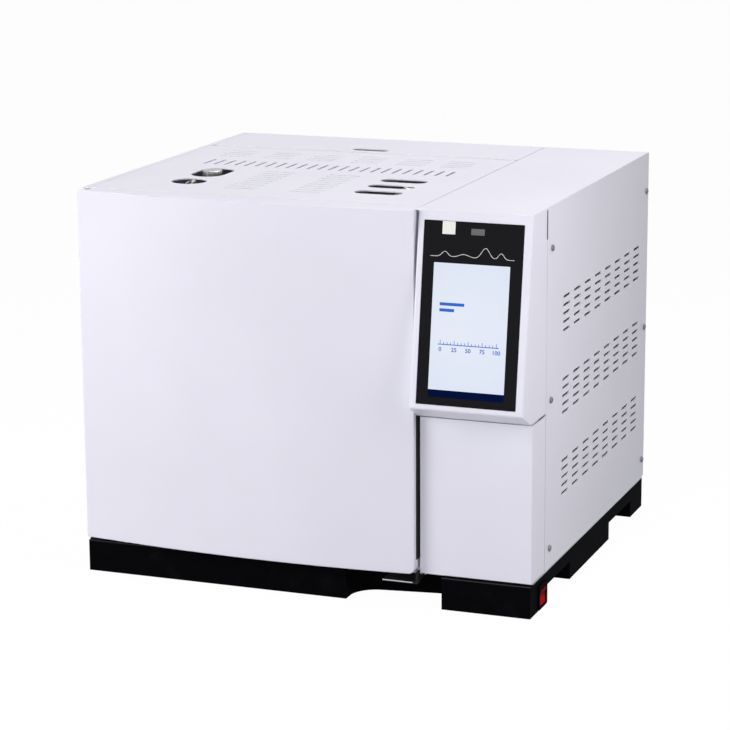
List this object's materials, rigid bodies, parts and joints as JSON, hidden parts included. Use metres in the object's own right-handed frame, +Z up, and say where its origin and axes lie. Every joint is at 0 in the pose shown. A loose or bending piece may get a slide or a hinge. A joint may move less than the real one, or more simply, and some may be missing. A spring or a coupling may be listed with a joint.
{
  "type": "gas chromatograph",
  "caption": "Bench gas chromatograph: oven with bowed hinged door, vented hinged lid over inlet and detectors, control tower with tilted touch screen, black plinth.",
  "frame": {"origin": "under the middle of the footprint, on the table", "axes": "+Z up, -Y out of the front with the oven door and screen, +X towards the control tower side"},
  "size_m": [0.5846, 0.5676, 0.4872],
  "materials": {
    "case_white": "fine powder coat, white with a faint lavender cast",
    "plinth_black": "satin black moulding",
    "foot_rubber": "matt",
    "chassis_zinc": "zinc-plated sheet",
    "oven_steel": "brushed stainless",
    "wool": "pressed mineral wool",
    "gasket_silicone": "pale silicone",
    "motor_paint": "black enamel",
    "column_amber": "amber coated fused silica on a steel cage",
    "panel_glass": "black printed panel, gloss, with a pale screen area",
    "module_black": "black",
    "board_green": "solder mask",
    "block_aluminium": "machined",
    "tcd_black": "matt black heat-proof paint",
    "nut_chrome": "nickel plated",
    "fitting_brass": "bright",
    "rocker_red": "translucent red"
  },
  "bodies": {
    "case": {"base_plinth": "plinth_black", "rubber_feet": "foot_rubber", "floor_pan": "chassis_zinc", "rear_panel": "case_white", "left_side_panel": "case_white", "right_cover": "case_white", "rear_top_cover": "case_white", "tower_front_panel": "case_white", "display_hood": "case_white", "control_glass": "panel_glass", "display_module": "module_black", "control_board": "board_green", "divider_wall": "chassis_zinc", "instrument_deck": "chassis_zinc", "oven_front_frame": "chassis_zinc", "case_screws": "nut_chrome", "rear_left_post": "chassis_zinc", "rear_right_post": "chassis_zinc", "front_right_post": "chassis_zinc", "oven_liner": "oven_steel", "oven_insulation": "wool", "fan_baffle": "oven_steel", "oven_heater": "oven_steel", "oven_fan_motor": "motor_paint", "column_hanger": "oven_steel", "capillary_column": "column_amber", "temperature_probe": "oven_steel", "exhaust_duct": "chassis_zinc", "flap_motor": "motor_paint", "upper_hinge_bracket": "chassis_zinc", "lower_hinge_bracket": "chassis_zinc", "magnetic_catch": "module_black", "lever_bracket": "chassis_zinc", "cover_hinge_leaf": "chassis_zinc", "injector_body": "oven_steel", "injector_heater_block": "block_aluminium", "fid_body": "oven_steel", "tcd_block": "tcd_black", "carrier_gas_line": "oven_steel", "main_board": "board_green", "power_supply": "chassis_zinc", "gas_control_module": "block_aluminium", "gas_connectors": "fitting_brass", "power_inlet": "module_black", "signal_ports": "module_black", "rocker_bezel": "module_black", "cooling_fan_frame": "module_black"},
    "oven_door": {"door_shell": "case_white", "door_inner_panel": "oven_steel", "door_insulation": "wool", "door_gasket": "gasket_silicone"},
    "door_lever": {"door_lever": "oven_steel"},
    "top_lid": {"top_lid": "case_white", "lid_hinge_leaf": "chassis_zinc"},
    "power_rocker": {"power_rocker": "rocker_red"},
    "oven_fan": {"oven_fan": "oven_steel", "oven_fan_shaft": "oven_steel"},
    "cooling_fan": {"cooling_fan_rotor": "module_black"},
    "septum_nut": {"septum_nut": "nut_chrome"},
    "vent_flap": {"vent_flap": "oven_steel"}
  },
  "joints": [
    {"name": "door_hinge", "type": "hinge", "parent": "case", "child": "oven_door", "pos_m": [-0.28, -0.24074, 0.262], "axis": [0, 0, -1], "range_deg": [0, 100]},
    {"name": "door_lever_pivot", "type": "hinge", "parent": "case", "child": "door_lever", "pos_m": [0.127, -0.21924, 0.0355], "axis": [-1, 0, 0], "range_deg": [0, 12], "stiffness_Nm_per_rad": 0.15, "springref_deg": -11.46},
    {"name": "lid_hinge", "type": "hinge", "parent": "case", "child": "top_lid", "pos_m": [-0.067, 0.14196, 0.4812], "axis": [-1, 0, 0], "range_deg": [0, 80]},
    {"name": "rocker_tilt", "type": "hinge", "parent": "case", "child": "power_rocker", "pos_m": [0.28324, -0.19924, 0.0165], "axis": [0, -1, 0], "range_deg": [0, 14]},
    {"name": "oven_fan_spin", "type": "hinge", "parent": "case", "child": "oven_fan", "pos_m": [-0.06, 0.02976, 0.222], "axis": [0, 1, 0], "continuous": true},
    {"name": "cooling_fan_spin", "type": "hinge", "parent": "case", "child": "cooling_fan", "pos_m": [0.216, 0.24976, 0.4], "axis": [0, 1, 0], "continuous": true},
    {"name": "septum_nut_turn", "type": "hinge", "parent": "case", "child": "septum_nut", "pos_m": [-0.1855, -0.07624, 0.478], "axis": [0, 0, 1], "continuous": true},
    {"name": "vent_flap_turn", "type": "hinge", "parent": "case", "child": "vent_flap", "pos_m": [-0.15, 0.21976, 0.32], "axis": [1, 0, 0], "range_deg": [0, 85]}
  ]
}
